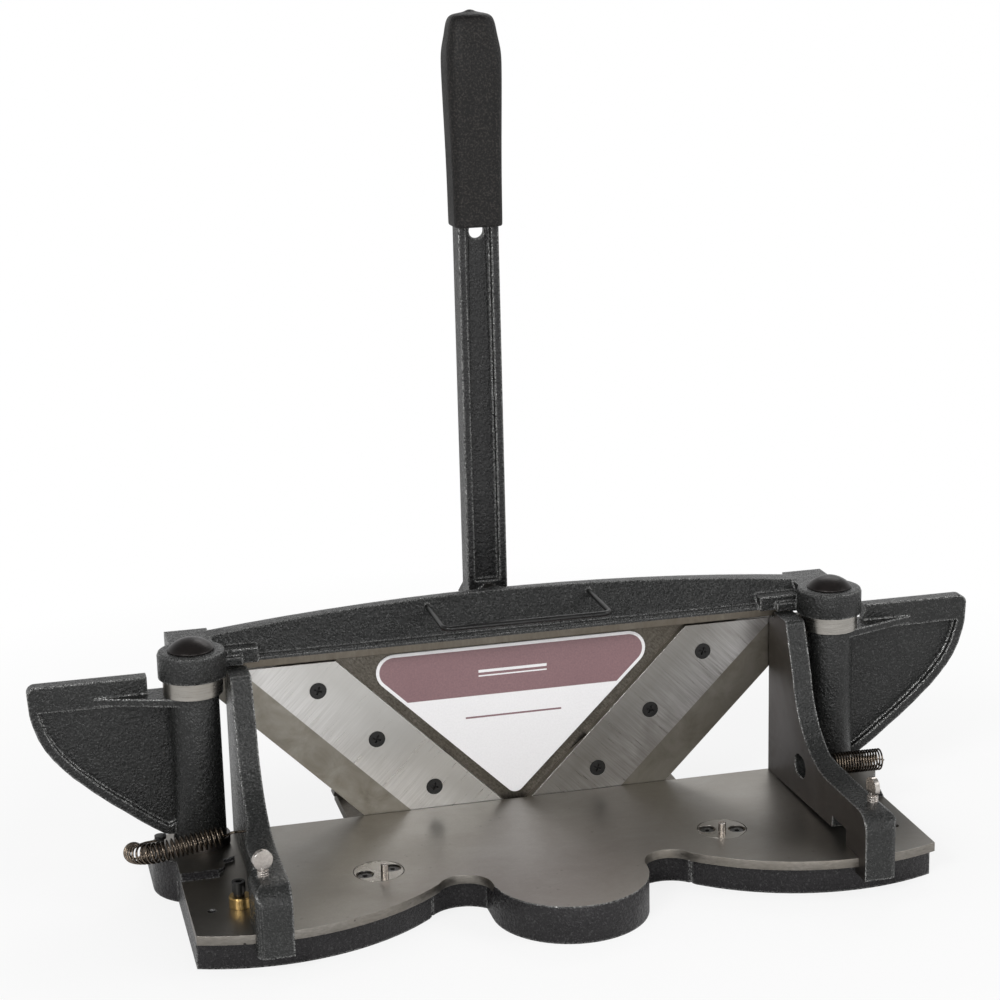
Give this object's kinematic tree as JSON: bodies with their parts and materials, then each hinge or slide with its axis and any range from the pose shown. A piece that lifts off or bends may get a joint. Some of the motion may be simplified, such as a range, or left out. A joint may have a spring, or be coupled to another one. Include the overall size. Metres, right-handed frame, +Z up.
{
  "type": "mitre guillotine",
  "caption": "Bench mitre trimmer: two angled knives on a carriage that a lever drives sideways through a rack under an arched bridge, with swinging spring-loaded fences on a cast table.",
  "frame": {"origin": "middle of the cutting plane, on the bench surface", "axes": "+X along the cut to the right, +Y to the back, +Z up"},
  "size_m": [0.5966, 0.2604, 0.509],
  "materials": {
    "paint": "hammered dark grey enamel",
    "machined_iron": "machined, oiled cast iron",
    "bright_steel": "ground steel",
    "dark_steel": "turned steel, darkened",
    "black_steel": "black oxide",
    "brass": "turned brass",
    "nickel": "satin nickel plate",
    "rubber": "textured black rubber",
    "sign": "printed, plain",
    "spring_wire": "oiled spring steel"
  },
  "bodies": {
    "frame": {"base_casting": "paint", "post_left": "dark_steel", "post_right": "dark_steel", "post_collars": "bright_steel", "post_bolts": "black_steel", "dome_caps": "black_steel", "bridge_casting": "paint", "wire_bail": "black_steel", "guard_left": "paint", "guard_right": "paint", "guard_set_screws": "black_steel", "lower_gib": "bright_steel", "upper_gib": "bright_steel", "gib_screws": "black_steel", "gib_locknuts": "dark_steel", "lever_bracket": "paint", "bracket_bolts": "black_steel", "pivot_bush": "brass", "fence_pivot_pins": "bright_steel", "collar_screws": "black_steel", "stop_discs": "bright_steel", "stop_pins": "nickel", "disc_screws": "black_steel", "spring_left": "spring_wire", "spring_right": "spring_wire", "spring_anchors": "black_steel"},
    "carriage": {"carriage_casting": "machined_iron", "knife_left": "bright_steel", "knife_right": "bright_steel", "knife_screws": "black_steel", "face_plate": "sign", "rack": "dark_steel", "rack_screws": "black_steel"},
    "lever_arm": {"pivot_shaft": "bright_steel", "toothed_quadrant": "dark_steel", "lever": "paint", "drive_key": "bright_steel", "lever_washer": "bright_steel", "lever_nut": "black_steel", "grip": "rubber"},
    "left_fence": {"fence_left": "paint"},
    "right_fence": {"fence_right": "paint"},
    "left_thumb_screw": {"thumb_screw_left": "nickel"},
    "right_thumb_screw": {"thumb_screw_right": "nickel"},
    "left_stop_collar": {"stop_collar_left": "brass"},
    "right_stop_collar": {"stop_collar_right": "brass"}
  },
  "joints": [
    {"name": "carriage_slide", "type": "slide", "parent": "frame", "child": "carriage", "axis": [1, 0, 0], "range_m": [-0.09, 0.09]},
    {"name": "lever_swing", "type": "hinge", "parent": "frame", "child": "lever_arm", "pos_m": [0, 0.074, 0.135], "axis": [0, 1, 0], "range_deg": [-49.2, 49.2]},
    {"name": "left_fence_swing", "type": "hinge", "parent": "frame", "child": "left_fence", "pos_m": [-0.172, -0.0105, 0.023], "axis": [0, 0, 1], "range_deg": [0, 45], "stiffness_Nm_per_rad": 1.2, "springref_deg": -20.05, "deforming": ["spring_left"]},
    {"name": "left_thumb_screw_turn", "type": "hinge", "parent": "left_fence", "child": "left_thumb_screw", "pos_m": [-0.181, -0.14, 0.023], "axis": [0, 0, 1], "range_deg": [0, 360]},
    {"name": "left_stop_collar_turn", "type": "hinge", "parent": "frame", "child": "left_stop_collar", "pos_m": [-0.1915, -0.11, 0.023], "axis": [0, 0, -1], "range_deg": [0, 180]},
    {"name": "right_fence_swing", "type": "hinge", "parent": "frame", "child": "right_fence", "pos_m": [0.172, -0.0105, 0.023], "axis": [0, 0, -1], "range_deg": [0, 45], "stiffness_Nm_per_rad": 1.2, "springref_deg": -20.05, "deforming": ["spring_right"]},
    {"name": "right_thumb_screw_turn", "type": "hinge", "parent": "right_fence", "child": "right_thumb_screw", "pos_m": [0.181, -0.14, 0.023], "axis": [0, 0, 1], "range_deg": [0, 360]},
    {"name": "right_stop_collar_turn", "type": "hinge", "parent": "frame", "child": "right_stop_collar", "pos_m": [0.1915, -0.11, 0.023], "axis": [0, 0, 1], "range_deg": [0, 180]}
  ],
  "couplings": [
    {"joint": "lever_swing", "follows": "carriage_slide", "rad_per_m": -9.5238}
  ]
}
